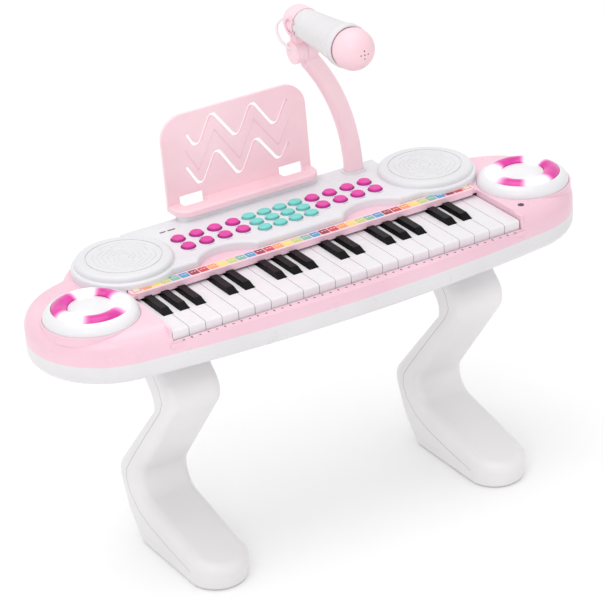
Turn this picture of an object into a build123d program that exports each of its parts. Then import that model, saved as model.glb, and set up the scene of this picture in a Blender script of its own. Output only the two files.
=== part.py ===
"""Toy electronic keyboard on two Z-shaped legs, with a music stand and a microphone on a curved arm.

Millimetres. +X runs to the player's right along the keys, -Y points towards the player, +Z is up.
The origin is on the floor, under the middle of the whole object's bounding box.
"""
import os
from math import asin, cos, pi, radians, sin, sqrt, tan

from build123d import *

os.makedirs("parts", exist_ok=True)

# ---------------------------------------------------------------- heights above the floor
casing_bottom_z = 242.0
seam_z = 264.0
lip_z = 277.0
key_top_z = 286.5
casing_top_z = 293.0
strip_top_z = 295.5
panel_top_z = 302.0
lamp_seat_z = 287.0
pod_top_z = 308.0
button_top_z = 305.0
floor_top_z = casing_bottom_z + 3.0

# ---------------------------------------------------------------- plan of the casing
end_x = 225.0
end_y = -9.0
end_radius = 82.0
front_bow = 15.5
lobe_x = 176.0
lobe_y = 46.0
lobe_radius = 64.0
waist_radius = 30.0
wall = 3.0
top_edge_radius = 18.0
bottom_edge_radius = 12.0
front_y = end_y - end_radius - front_bow
rear_y = lobe_y + lobe_radius

# ---------------------------------------------------------------- keyboard
white_count = 22
white_pitch = 18.2
key_gap = 0.7
key_front_y = -92.0
key_tail_y = 10.0
key_well_x = white_count * white_pitch / 2 + 0.9
key_well_front_y = key_front_y - 1.2
key_well_rear_y = -15.0
key_height = 10.5
key_skin = 2.0
key_hinge_y = 5.0
key_hinge_z = 281.0
key_hinge_radius = 3.0
black_front_y = -58.0
black_width = 10.0
black_height = 4.5
black_shift = -3.0
black_slope = 8.0
notch_gap = 0.8
# the white keys run F to F: True where a black key follows the white key
black_after = [True, True, True, False, True, True, False] * 3

# ---------------------------------------------------------------- control panel, pods and lamps
pod_x = 177.0
pod_y = 44.0
pod_radius = 49.4
pod_seat_radius = 53.0
grille_spigot_radius = 45.0
strip_half_length = 200.0
strip_rear_y = -1.0
panel_front_y = 1.0
panel_rear_y = 104.0
panel_half_width = 150.0
scallop_x = 84.0
scallop_half_width = 34.0
scallop_depth = 18.0
wedge_half_width = 188.0
wedge_rear_y = 40.0
panel_skin = 2.5
lamp_x = 251.0
lamp_y = -25.7
lamp_radius = 47.3
ring_outer_radius = 38.1
ring_inner_radius = 22.5

# ---------------------------------------------------------------- buttons
round_pitch = 21.0
round_radius = 6.5
round_block_x = 78.3
round_block_y = 45.0
oval_pitch_x = 18.2
oval_pitch_y = 16.2
oval_length = 13.5
oval_width = 11.0
oval_block_y = 41.0
button_clearance = 0.4
carrier_top_z = 299.3
carrier_thickness = 2.0

# ---------------------------------------------------------------- microphone, arm and stand
arm_base_x = 118.0
arm_y = 89.0
arm_width = 20.5
arm_depth = 15.0
arm_rise = 142.0
arm_reach = 50.0
pivot_x = 66.0
pivot_z = 449.0
pivot_radius = 12.0
mic_x = 65.0
mic_z = 481.0
mic_head_y = -12.0
mic_head_radius = 21.3
stand_left_x = -91.5
stand_right_x = 77.0
stand_top_z = 407.0
stand_fold_y = 106.0
stand_lean_deg = 3.0
stand_thickness = 4.0
stand_corner_radius = 25.0
ledge_top_z = 314.5
ledge_front_y = 82.0
ledge_skin = 2.5
ledge_rim = 7.5
plinth_x = 162.0
plinth_y = 18.0
plinth_centre = (-7, 95)
plinth_top_z = 308.0
tab_spots = [(-62, 92), (46, 92)]
tab_width = 16.0
tab_thickness = 4.0

arm_tenon_x = 16.0
arm_tenon_y = 10.5
pivot_pin_radius = 4.0
pivot_pin_length = 9.0
cord_diameter = 3.0
collar_radius = 22.5
cup_radius = 16.5
cup_wall = 1.3
cup_front_y = 78.0
cup_dome_y = 90.0

# ---------------------------------------------------------------- fittings
speaker_cone_radius = 35.0
screw_radius = 1.5
screw_head_radius = 2.8
screw_length = 26.0
door_x = 112.0
door_y = 66.0
door_centre_y = 45.0
door_thickness = 2.0
switch_x = -60.0
switch_z = 270.0
switch_stem = 6.0
switch_travel = 6.0
rail_half_length = 199.0
board_z = 262.0
button_board_z = 285.0
board_thickness = 1.6
board_posts = [(-185, -40), (-90, -40), (0, -40), (90, -40), (185, -40)]
button_board_posts = [(-115, 20), (115, 20), (-115, 80), (115, 80)]

# ---------------------------------------------------------------- legs
leg_x = 167.5
leg_width = 60.0
leg_wall = 4.5
toe_centre_y = -87.7
toe_core_y = -80.0
foot_edge_radius = 4.0
leg_edge_radius = 10.0
tenon_x = 46.0
tenon_y = 34.0
tenon_centre_y = -5.0
tenon_height = 14.0


def save(part, node):
    """Label one finished piece and write it under its node name."""
    part.label = node
    export_step(part, "parts/" + node + ".step")


def casing_plan(inset=0.0):
    """Rounded ends, bowed front and two speaker lobes at the rear, all tangent, inset by a wall."""
    end_centre = Vector(end_x, end_y)
    lobe_centre = Vector(lobe_x, lobe_y)
    bow_radius = end_radius + (end_x**2 + front_bow**2) / (2 * front_bow)
    bow_centre = Vector(0, front_y + bow_radius)
    # centre of the hollow arc that joins an end to its lobe
    to_lobe = lobe_centre - end_centre
    gap = to_lobe.length
    from_end = end_radius + waist_radius
    from_lobe = lobe_radius + waist_radius
    along = (from_end**2 - from_lobe**2 + gap**2) / (2 * gap)
    aside = sqrt(from_end**2 - along**2)
    unit = to_lobe.normalized()
    waist_centre = end_centre + unit * along + Vector(unit.Y, -unit.X) * aside
    bow_end = end_centre + (end_centre - bow_centre).normalized() * (end_radius - inset)
    end_top = end_centre + (waist_centre - end_centre).normalized() * (end_radius - inset)
    lobe_low = lobe_centre + (waist_centre - lobe_centre).normalized() * (lobe_radius - inset)
    waist_way = ((end_top + lobe_low) / 2 - waist_centre).normalized()
    waist_mid = waist_centre + waist_way * (waist_radius + inset)
    lobe_mid = lobe_centre + Vector(sin(radians(50)), cos(radians(50))) * (lobe_radius - inset)
    lobe_top = Vector(lobe_x, rear_y - inset)
    end_mid = Vector(end_x + end_radius - inset, end_y)
    with BuildSketch() as plan:
        with BuildLine():
            Line((0, rear_y - inset), lobe_top)
            ThreePointArc(lobe_top, lobe_mid, lobe_low)
            ThreePointArc(lobe_low, waist_mid, end_top)
            ThreePointArc(end_top, end_mid, bow_end)
            bow_half = Vector(0, front_y + inset)
            bow_way = ((bow_end + bow_half) / 2 - bow_centre).normalized()
            bow_mid = bow_centre + bow_way * (bow_radius - inset)
            ThreePointArc(bow_end, bow_mid, bow_half)
            mirror(about=Plane.YZ)
        make_face()
    return plan.sketch


cavity_steps = [(wall, lip_z - wall), (8.0, 284.0), (16.0, casing_top_z - wall)]
screw_spots = [(-270, 30), (-270, -60), (-206, -74), (-60, 96), (60, 96), (206, -74), (270, 30), (270, -60)]
boss_radius = 5.0


def panel_plan(inset=0.0):
    """Band across the middle, a round seat for each pod and two scallops in the front edge."""
    with BuildSketch() as plan:
        with Locations((0, (panel_front_y + panel_rear_y) / 2)):
            Rectangle(2 * panel_half_width, panel_rear_y - panel_front_y - 2 * inset)
        with Locations((0, (panel_front_y + wedge_rear_y) / 2)):
            Rectangle(2 * (wedge_half_width - inset), wedge_rear_y - panel_front_y - 2 * inset)
        with Locations((-pod_x, pod_y), (pod_x, pod_y)):
            Circle(pod_seat_radius - inset)
        scallop_radius = (scallop_half_width**2 + scallop_depth**2) / (2 * scallop_depth)
        scallop_y = panel_front_y + scallop_depth - scallop_radius
        with Locations((-scallop_x, scallop_y), (scallop_x, scallop_y)):
            Circle(scallop_radius + inset, mode=Mode.SUBTRACT)
    return plan.sketch


# ================================================================ upper casing
with BuildPart() as upper_casing:
    with BuildSketch(Plane.XY.offset(seam_z)):
        add(casing_plan())
    extrude(amount=casing_top_z - seam_z)
    fillet(upper_casing.faces().sort_by(Axis.Z)[-1].edges(), radius=top_edge_radius)
    # the top steps down to a lip along the front of the keys
    with BuildSketch(Plane.XY.offset(lip_z)):
        with Locations((0, key_well_front_y - 20)):
            Rectangle(2 * key_well_x, 40.01)
    extrude(amount=40, mode=Mode.SUBTRACT)
    # hollow inside, stepped under the rounded edge and lower under the lip and the lamp seats
    for inset, top_z in cavity_steps:
        with BuildSketch(Plane.XY.offset(seam_z)):
            add(casing_plan(inset))
            if top_z > lip_z:
                with Locations((0, key_well_front_y - 20)):
                    Rectangle(2 * key_well_x, 40, mode=Mode.SUBTRACT)
                with Locations((-lamp_x, lamp_y), (lamp_x, lamp_y)):
                    Circle(lamp_radius + wall, mode=Mode.SUBTRACT)
        extrude(amount=top_z - seam_z, mode=Mode.SUBTRACT)
    # well for the keys
    with BuildSketch(Plane.XY.offset(seam_z)):
        with Locations((0, (key_well_front_y + key_well_rear_y) / 2)):
            Rectangle(2 * key_well_x, key_well_rear_y - key_well_front_y)
    extrude(amount=40, mode=Mode.SUBTRACT)
    # skirts round the well
    with BuildSketch(Plane.XY.offset(lip_z - 6)):
        with Locations((0, key_well_front_y - wall / 2)):
            Rectangle(2 * key_well_x + 2 * wall, wall)
    extrude(amount=4)
    for side in (-1, 1):
        with BuildSketch(Plane.XY.offset(lip_z - 6)):
            with Locations((side * (key_well_x + wall / 2), (key_well_front_y + key_well_rear_y) / 2)):
                Rectangle(wall, key_well_rear_y - key_well_front_y)
        extrude(amount=casing_top_z - wall - lip_z + 7)
    # raised seats round the lamps
    with BuildSketch(Plane.XY.offset(lamp_seat_z - 3)):
        with Locations((-lamp_x, lamp_y), (lamp_x, lamp_y)):
            Circle(lamp_radius + 2.2)
    extrude(amount=casing_top_z - lamp_seat_z + 3)
    # raised seat that carries the control panel to its edge
    with BuildSketch(Plane.XY.offset(casing_top_z - 5)):
        add(panel_plan())
    extrude(amount=5)
    # screw bosses up to the skin
    with BuildSketch(Plane.XY.offset(seam_z)):
        with Locations(*screw_spots):
            Circle(boss_radius)
    extrude(amount=casing_top_z - wall - seam_z + 0.2)
    # openings under the control panel, the loudspeakers and the lamps, and the arm's hole
    with BuildSketch(Plane.XY.offset(casing_top_z - 12)):
        with Locations((0, 54)):
            Rectangle(250, 66)
        with Locations((-pod_x, pod_y), (pod_x, pod_y)):
            Circle(speaker_cone_radius + 1)
        with Locations((-lamp_x, lamp_y), (lamp_x, lamp_y)):
            Circle(20)
        with Locations((arm_base_x, arm_y)):
            RectangleRounded(arm_tenon_x + 1, arm_tenon_y + 1, 4)
    extrude(amount=20, mode=Mode.SUBTRACT)
    with BuildSketch(Plane.XY.offset(lamp_seat_z)):
        with Locations((-lamp_x, lamp_y), (lamp_x, lamp_y)):
            Circle(lamp_radius + 0.3)
    extrude(amount=20, mode=Mode.SUBTRACT)
    # pilot holes in the screw bosses
    with BuildSketch(Plane.XY.offset(seam_z)):
        with Locations(*screw_spots):
            Circle(screw_radius + 0.05)
    extrude(amount=10, mode=Mode.SUBTRACT)
    # slot for the on/off slider in the rear wall
    with BuildSketch(Plane.XZ.offset(-rear_y - 1)):
        with Locations((switch_x + switch_travel / 2, switch_z)):
            Rectangle(switch_stem + switch_travel + 1, 4)
    extrude(amount=wall + 2, mode=Mode.SUBTRACT)
save(upper_casing.part, "upper_casing")

# ================================================================ lower casing
with BuildPart() as lower_casing:
    with BuildSketch(Plane.XY.offset(casing_bottom_z)):
        add(casing_plan())
    extrude(amount=seam_z - casing_bottom_z)
    fillet(lower_casing.faces().sort_by(Axis.Z)[0].edges(), radius=bottom_edge_radius)
    # hollow, stepped over the rounded bottom edge
    for inset, floor_z in [(8.0, floor_top_z), (wall, casing_bottom_z + 9)]:
        with BuildSketch(Plane.XY.offset(floor_z)):
            add(casing_plan(inset))
        extrude(amount=seam_z - floor_z, mode=Mode.SUBTRACT)
    # screw bosses, posts for the boards and a frame round the battery opening
    with BuildSketch(Plane.XY.offset(floor_top_z - 1)):
        with Locations(*screw_spots):
            Circle(boss_radius)
    extrude(amount=seam_z - floor_top_z + 1)
    with BuildSketch(Plane.XY.offset(floor_top_z - 1)):
        with Locations(*board_posts):
            Circle(3)
    extrude(amount=board_z - floor_top_z + 1)
    with BuildSketch(Plane.XY.offset(floor_top_z - 1)):
        with Locations(*button_board_posts):
            Circle(3)
    extrude(amount=button_board_z - floor_top_z + 1)
    with BuildSketch(Plane.XY.offset(floor_top_z - 1)):
        with Locations((0, door_centre_y)):
            Rectangle(door_x + 6, door_y + 6)
    extrude(amount=4)
    # rail with a round bead that every key clips over
    with BuildSketch(Plane.XY.offset(floor_top_z - 1)):
        with Locations((0, key_hinge_y)):
            Rectangle(2 * rail_half_length, 2)
    extrude(amount=key_hinge_z - floor_top_z + 1)
    with BuildSketch(Plane.YZ.offset(-rail_half_length)):
        with Locations((key_hinge_y, key_hinge_z)):
            Circle(key_hinge_radius)
    extrude(amount=2 * rail_half_length)
    # battery opening with a recess for its door
    with BuildSketch(Plane.XY.offset(casing_bottom_z)):
        with Locations((0, door_centre_y)):
            Rectangle(door_x + 0.6, door_y + 0.6)
    extrude(amount=door_thickness + 0.2, mode=Mode.SUBTRACT)
    with BuildSketch(Plane.XY.offset(casing_bottom_z)):
        with Locations((0, door_centre_y)):
            Rectangle(door_x - 8, door_y - 8)
    extrude(amount=9, mode=Mode.SUBTRACT)
    # sockets for the legs
    with BuildSketch(Plane.XY.offset(casing_bottom_z)):
        with Locations((-leg_x, tenon_centre_y), (leg_x, tenon_centre_y)):
            Rectangle(tenon_x + 0.6, tenon_y + 0.6)
    extrude(amount=tenon_height + 2, mode=Mode.SUBTRACT)
    # counterbored screw holes
    with BuildSketch(Plane.XY.offset(casing_bottom_z)):
        with Locations(*screw_spots):
            Circle(screw_head_radius + 0.4)
    extrude(amount=4, mode=Mode.SUBTRACT)
    with BuildSketch(Plane.XY.offset(casing_bottom_z)):
        with Locations(*screw_spots):
            Circle(screw_radius + 0.3)
    extrude(amount=seam_z - casing_bottom_z, mode=Mode.SUBTRACT)
save(lower_casing.part, "lower_casing")

# ================================================================ battery door
with BuildPart() as battery_door:
    with BuildSketch(Plane.XY.offset(casing_bottom_z + 0.2)):
        with Locations((0, door_centre_y)):
            RectangleRounded(door_x, door_y, 2)
    extrude(amount=door_thickness)
    # finger notch
    with BuildSketch(Plane.XY.offset(casing_bottom_z + 0.2)):
        with Locations((0, door_centre_y - door_y / 2 + 10)):
            SlotOverall(24, 8)
    extrude(amount=1, mode=Mode.SUBTRACT)
save(battery_door.part, "battery_door")

# ================================================================ screws
with BuildPart() as casing_screws:
    with BuildSketch(Plane.XY.offset(casing_bottom_z + 4)):
        with Locations(*screw_spots):
            Circle(screw_radius)
    extrude(amount=screw_length)
    with BuildSketch(Plane.XY.offset(casing_bottom_z + 1.8)):
        with Locations(*screw_spots):
            Circle(screw_head_radius)
    extrude(amount=2.2)
    # cross recess
    with BuildSketch(Plane.XY.offset(casing_bottom_z + 1.8)):
        with Locations(*screw_spots):
            Rectangle(3.2, 0.8)
            Rectangle(0.8, 3.2)
    extrude(amount=1.2, mode=Mode.SUBTRACT)
save(casing_screws.part, "casing_screws")

# ================================================================ boards
with BuildPart() as circuit_boards:
    with BuildSketch(Plane.XY.offset(board_z)):
        with Locations((0, -45)):
            Rectangle(390, 60)
    extrude(amount=board_thickness)
    # rubber contact domes under the keys
    with BuildSketch(Plane.XY.offset(board_z + board_thickness)):
        with GridLocations(white_pitch, 1, white_count, 1):
            with Locations((0, -48)):
                Circle(4)
    extrude(amount=4)
    with BuildSketch(Plane.XY.offset(button_board_z)):
        with Locations((0, 50)):
            Rectangle(240, 70)
    extrude(amount=board_thickness)
save(circuit_boards.part, "circuit_boards")

# ================================================================ loudspeakers
with BuildPart() as speakers:
    with BuildSketch(Plane(origin=(pod_x, pod_y, casing_top_z), x_dir=(1, 0, 0), z_dir=(0, -1, 0))):
        with BuildLine():
            Polyline(
                (0, -28), (18, -28), (18, -17), (speaker_cone_radius, -2),
                (speaker_cone_radius, 0), (speaker_cone_radius + 3.5, 0),
                (speaker_cone_radius + 3.5, 1.5), (speaker_cone_radius - 2, 1.5),
                (10, -10), (0, -8), close=True,
            )
        make_face()
    revolve(axis=Axis((pod_x, pod_y, 0), (0, 0, 1)))
    mirror(about=Plane.YZ)
save(speakers.part, "speakers")

# ================================================================ control panel
round_columns = [round_pitch * (column - 1.5) for column in range(4)]
oval_columns = [oval_pitch_x * (column - 1.5) for column in range(4)]
round_rows = [round_block_y - round_pitch / 2, round_block_y + round_pitch / 2]
oval_rows = [oval_block_y - oval_pitch_y, oval_block_y, oval_block_y + oval_pitch_y]
left_spots = [(x - round_block_x, y) for x in round_columns for y in round_rows]
right_spots = [(x + round_block_x, y) for x in round_columns for y in round_rows]
center_spots = [(x, y) for x in oval_columns for y in oval_rows]

with BuildPart() as control_panel:
    with BuildSketch(Plane.XY.offset(casing_top_z)):
        add(panel_plan())
    extrude(amount=panel_top_z - casing_top_z)
    fillet(control_panel.faces().sort_by(Axis.Z)[-1].edges(), radius=3)
    with BuildSketch(Plane.XY.offset(casing_top_z)):
        add(panel_plan(panel_skin))
    extrude(amount=panel_top_z - casing_top_z - panel_skin, mode=Mode.SUBTRACT)
    # clearance over the ends of the note strip
    with BuildSketch(Plane.XY.offset(casing_top_z)):
        with Locations((0, strip_rear_y - 20 + 0.3)):
            Rectangle(2 * strip_half_length + 1, 40)
    extrude(amount=strip_top_z - casing_top_z + 0.3, mode=Mode.SUBTRACT)
    # plinth under the music stand
    with BuildSketch(Plane.XY.offset(panel_top_z - 1)):
        with Locations(plinth_centre):
            RectangleRounded(plinth_x, plinth_y, 6)
    extrude(amount=plinth_top_z - panel_top_z + 1)
    # collar round the foot of the arm
    with BuildSketch(Plane.XY.offset(panel_top_z - 1)):
        with Locations((arm_base_x, arm_y)):
            RectangleRounded(arm_width + 5, arm_depth + 5, 8.5)
    extrude(amount=3)
    with BuildSketch(Plane.XY.offset(panel_top_z)):
        with Locations((arm_base_x, arm_y)):
            RectangleRounded(arm_width + 0.6, arm_depth + 0.6, 6.8)
    extrude(amount=3, mode=Mode.SUBTRACT)
    # holes for the buttons, the grilles, the arm and the stand's tabs
    with BuildSketch(Plane.XY.offset(casing_top_z)):
        with Locations(*left_spots, *right_spots):
            Circle(round_radius + button_clearance)
        with Locations(*center_spots):
            Ellipse(oval_length / 2 + button_clearance, oval_width / 2 + button_clearance)
        with Locations((-pod_x, pod_y), (pod_x, pod_y)):
            Circle(grille_spigot_radius + 0.3)
        with Locations((arm_base_x, arm_y)):
            RectangleRounded(arm_tenon_x + 0.6, arm_tenon_y + 0.6, 4)
        with Locations(*tab_spots):
            Rectangle(tab_width + 1, tab_thickness + 1)
    extrude(amount=20, mode=Mode.SUBTRACT)
save(control_panel.part, "control_panel")

# ================================================================ speaker grilles
with BuildPart() as speaker_grilles:
    with BuildSketch(Plane.XY.offset(panel_top_z)):
        with Locations((-pod_x, pod_y), (pod_x, pod_y)):
            Circle(pod_radius)
    extrude(amount=pod_top_z - panel_top_z)
    fillet(speaker_grilles.edges().filter_by(GeomType.CIRCLE).group_by(Axis.Z)[-1], radius=4.5)
    with BuildSketch(Plane.XY.offset(panel_top_z - 4)):
        with Locations((-pod_x, pod_y), (pod_x, pod_y)):
            Circle(grille_spigot_radius)
    extrude(amount=6)
    with BuildSketch(Plane.XY.offset(panel_top_z - 4)):
        with Locations((-pod_x, pod_y), (pod_x, pod_y)):
            Circle(grille_spigot_radius - 2.5)
    extrude(amount=pod_top_z - panel_top_z + 1.5, mode=Mode.SUBTRACT)
    # ring groove and wavy sound slots
    with BuildSketch(Plane.XY.offset(pod_top_z - 0.8)):
        with Locations((-pod_x, pod_y), (pod_x, pod_y)):
            Circle(38.6)
            Circle(37.4, mode=Mode.SUBTRACT)
    extrude(amount=1, mode=Mode.SUBTRACT)
    for side in (-1, 1):
        for row, half_length in [(-18, 18), (-9, 25), (0, 28), (9, 25), (18, 18)]:
            with BuildSketch(Plane.XY.offset(pod_top_z - 4)):
                with Locations((side * pod_x, pod_y + row)):
                    with BuildLine():
                        Spline(
                            (-half_length, -3), (-half_length / 2, 1.5), (0, -1),
                            (half_length / 2, -3.5), (half_length, 1),
                        )
                    trace(line_width=2)
            extrude(amount=5, mode=Mode.SUBTRACT)
save(speaker_grilles.part, "speaker_grilles")

# ================================================================ note strip
with BuildPart() as note_strip:
    with BuildSketch(Plane.XY.offset(casing_top_z)):
        with Locations((0, (strip_rear_y + key_well_rear_y) / 2)):
            RectangleRounded(2 * strip_half_length, strip_rear_y - key_well_rear_y, 5)
    extrude(amount=strip_top_z - casing_top_z)
    # bright lip that closes the gap over the tails of the keys
    with BuildSketch(Plane.XY.offset(strip_top_z - 6.5)):
        with Locations((0, key_well_rear_y - 0.6)):
            Rectangle(2 * strip_half_length - 10, 1.2)
    extrude(amount=6.5)
save(note_strip.part, "note_strip")

# ================================================================ lamps
cap_half = ring_inner_radius - 0.5
cap_rise = 4.5
cap_sphere = (cap_half**2 + cap_rise**2) / (2 * cap_rise)
cap_mid = cap_half / 2
cap_mid_height = 20.5 - cap_sphere + sqrt(cap_sphere**2 - cap_mid**2)

with BuildPart() as lamp_domes:
    with BuildSketch(Plane(origin=(lamp_x, lamp_y, lamp_seat_z), x_dir=(1, 0, 0), z_dir=(0, -1, 0))):
        with BuildLine():
            Polyline(
                (0, 17), (17, 14), (19, 7), (44.3, 5), (44.3, 0), (lamp_radius, 0),
                (lamp_radius, 5),
            )
            ThreePointArc((lamp_radius, 5), (44.8, 12.6), (ring_outer_radius + 0.5, 16.5))
            Polyline(
                (ring_outer_radius + 0.5, 16.5), (ring_outer_radius + 0.5, 9),
                (ring_inner_radius - 0.5, 9), (ring_inner_radius - 0.5, 16),
            )
            ThreePointArc((ring_inner_radius - 0.5, 16), (cap_mid, cap_mid_height), (0, 20.5))
            Line((0, 20.5), (0, 17))
        make_face()
    revolve(axis=Axis((lamp_x, lamp_y, 0), (0, 0, 1)))
    mirror(about=Plane.YZ)
save(lamp_domes.part, "lamp_domes")

with BuildPart() as lamp_rings:
    ring_plane = Plane(origin=(lamp_x, lamp_y, lamp_seat_z + 9), x_dir=(1, 0, 0), z_dir=(0, -1, 0))
    ring_middle = (ring_inner_radius + ring_outer_radius) / 2
    with BuildSketch(ring_plane):
        with BuildLine():
            Polyline(
                (ring_inner_radius, 8), (ring_inner_radius, 0), (ring_outer_radius, 0),
                (ring_outer_radius, 7.5),
            )
            ThreePointArc((ring_outer_radius, 7.5), (ring_middle, 11), (ring_inner_radius, 8))
        make_face()
    revolve(axis=Axis((lamp_x, lamp_y, 0), (0, 0, 1)))
    mirror(about=Plane.YZ)
save(lamp_rings.part, "lamp_rings")

# ================================================================ keys
white_left = -white_count * white_pitch / 2
key_boundaries = [white_left + white_pitch * (index + 1) for index in range(white_count - 1)]
key_bottom_z = key_top_z - key_height

for index in range(white_count):
    left_x = white_left + white_pitch * index + key_gap / 2
    right_x = left_x + white_pitch - key_gap
    # the tail is narrowed beside each black key
    tail_left_x = left_x
    tail_right_x = right_x
    if index > 0 and black_after[index - 1]:
        tail_left_x = left_x - key_gap / 2 + black_width / 2 + black_shift + notch_gap
    if index < white_count - 1 and black_after[index]:
        tail_right_x = right_x + key_gap / 2 - black_width / 2 + black_shift - notch_gap
    tail_x = (tail_left_x + tail_right_x) / 2
    tail_width = tail_right_x - tail_left_x
    notch_y = black_front_y - notch_gap
    with BuildPart() as white_key:
        with BuildSketch(Plane.XY.offset(key_bottom_z)):
            with Locations(((left_x + right_x) / 2, (key_front_y + notch_y) / 2)):
                Rectangle(right_x - left_x, notch_y - key_front_y)
            with Locations((tail_x, (notch_y + key_tail_y) / 2)):
                Rectangle(tail_width, key_tail_y - notch_y)
        extrude(amount=key_height)
        front_face = white_key.faces().sort_by(Axis.Y)[0]
        fillet(front_face.edges().sort_by(Axis.Z)[-1], radius=2.5)
        # hollow underneath, solid at the tail
        with BuildSketch(Plane.XY.offset(key_bottom_z)):
            with Locations(((left_x + right_x) / 2, (key_front_y + notch_y) / 2)):
                Rectangle(right_x - left_x - 3, notch_y - key_front_y - 4)
            with Locations((tail_x, (key_front_y + key_hinge_y) / 2 - 2)):
                Rectangle(tail_width - 3, key_hinge_y - key_front_y - 12)
        extrude(amount=key_height - key_skin, mode=Mode.SUBTRACT)
        # clip over the rail
        with BuildSketch(Plane.YZ.offset(tail_left_x - 1)):
            with Locations((key_hinge_y, key_hinge_z)):
                Circle(key_hinge_radius + 0.05)
            with Locations((key_hinge_y, key_hinge_z - 4)):
                Rectangle(3, 8)
        extrude(amount=tail_width + 2, mode=Mode.SUBTRACT)
    save(white_key.part, f"white_key_{index + 1:02d}")

black_boundaries = [x for x, has_black in zip(key_boundaries, black_after) if has_black]
for index, boundary_x in enumerate(black_boundaries):
    black_x = boundary_x + black_shift
    with BuildPart() as black_key:
        with BuildSketch(Plane.YZ.offset(black_x - black_width / 2)):
            with BuildLine():
                Polyline(
                    (black_front_y, key_bottom_z + 1),
                    (black_front_y, key_top_z + 0.1),
                    (black_front_y + black_slope, key_top_z + black_height),
                    (key_well_rear_y - 2.6, key_top_z + black_height),
                    (key_well_rear_y - 2.6, key_top_z),
                    (key_tail_y, key_top_z),
                    (key_tail_y, key_bottom_z),
                    (key_hinge_y - 10, key_bottom_z),
                    (key_hinge_y - 10, key_bottom_z + 1),
                    close=True,
                )
            make_face()
        extrude(amount=black_width)
        # the sides lean in to a narrower top
        with BuildSketch(Plane.XZ.offset(-key_well_rear_y + 2.6)):
            for side in (-1, 1):
                with BuildLine():
                    Polyline(
                        (black_x + side * black_width / 2, key_top_z + 0.1),
                        (black_x + side * (black_width / 2 - 1), key_top_z + black_height),
                        (black_x + side * (black_width / 2 + 1), key_top_z + black_height),
                        close=True,
                    )
                make_face()
        extrude(amount=key_well_rear_y - black_front_y, mode=Mode.SUBTRACT)
        # hollow underneath
        with BuildSketch(Plane.XY.offset(key_bottom_z)):
            with Locations((black_x, (black_front_y + key_hinge_y - 8) / 2)):
                Rectangle(black_width - 3, key_hinge_y - black_front_y - 14)
        extrude(amount=key_height - key_skin - 1, mode=Mode.SUBTRACT)
        # clip over the rail
        with BuildSketch(Plane.YZ.offset(black_x - black_width / 2 - 1)):
            with Locations((key_hinge_y, key_hinge_z)):
                Circle(key_hinge_radius + 0.05)
            with Locations((key_hinge_y, key_hinge_z - 4)):
                Rectangle(3, 8)
        extrude(amount=black_width + 2, mode=Mode.SUBTRACT)
    save(black_key.part, f"black_key_{index + 1:02d}")

# ================================================================ buttons
for node, centre_x, spots in [
    ("left_buttons", -round_block_x, left_spots),
    ("right_buttons", round_block_x, right_spots),
]:
    with BuildPart() as round_buttons:
        with BuildSketch(Plane.XY.offset(carrier_top_z)):
            with Locations(*spots):
                Circle(round_radius)
        extrude(amount=button_top_z - carrier_top_z)
        fillet(round_buttons.edges().group_by(Axis.Z)[-1], radius=1.2)
        with BuildSketch(Plane.XY.offset(carrier_top_z - carrier_thickness)):
            with Locations((centre_x, round_block_y)):
                Rectangle(3 * round_pitch + 2 * round_radius + 3, round_pitch + 2 * round_radius + 3)
        extrude(amount=carrier_thickness)
    save(round_buttons.part, node)

with BuildPart() as center_buttons:
    with BuildSketch(Plane.XY.offset(carrier_top_z)):
        with Locations(*center_spots):
            Ellipse(oval_length / 2, oval_width / 2)
    extrude(amount=button_top_z - carrier_top_z)
    fillet(center_buttons.edges().group_by(Axis.Z)[-1], radius=1.2)
    with BuildSketch(Plane.XY.offset(carrier_top_z - carrier_thickness)):
        with Locations((0, oval_block_y)):
            Rectangle(3 * oval_pitch_x + oval_length + 2, 2 * oval_pitch_y + oval_width + 2)
    extrude(amount=carrier_thickness)
save(center_buttons.part, "center_buttons")

# ================================================================ on/off slider
with BuildPart() as power_switch:
    with BuildSketch(Plane.XZ.offset(-rear_y - 0.3)):
        with Locations((switch_x, switch_z)):
            RectangleRounded(switch_stem + 4, 8, 2)
    extrude(amount=-4)
    with BuildSketch(Plane.XZ.offset(-rear_y - 1)):
        with Locations((switch_x, switch_z)):
            Rectangle(switch_stem, 3.4)
    extrude(amount=5)
    with BuildSketch(Plane.XZ.offset(-rear_y + wall + 0.3)):
        with Locations((switch_x, switch_z)):
            Rectangle(switch_stem + 4, 8)
    extrude(amount=2)
    # thumb ridges
    with BuildSketch(Plane.XZ.offset(-rear_y - 4.3)):
        with Locations((switch_x - 3, switch_z), (switch_x, switch_z), (switch_x + 3, switch_z)):
            Rectangle(1, 6)
    extrude(amount=1, mode=Mode.SUBTRACT)
save(power_switch.part, "power_switch")

# ================================================================ music stand
lean = radians(stand_lean_deg)
plate_plane = Plane(
    origin=(0, stand_fold_y, ledge_top_z),
    x_dir=(1, 0, 0),
    z_dir=(0, -cos(lean), sin(lean)),
)
stand_centre_x = (stand_left_x + stand_right_x) / 2
stand_width = stand_right_x - stand_left_x
plate_height = (stand_top_z - ledge_top_z) / cos(lean)
upper_zigzag = [(-62, 70), (-52, 51), (-32, 88), (-5, 51), (15, 87), (40, 51), (55, 78)]
lower_zigzag = [(-66, 36), (-51, 10), (-30, 48), (-5, 9), (16, 48), (42, 13), (53, 31)]

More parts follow.
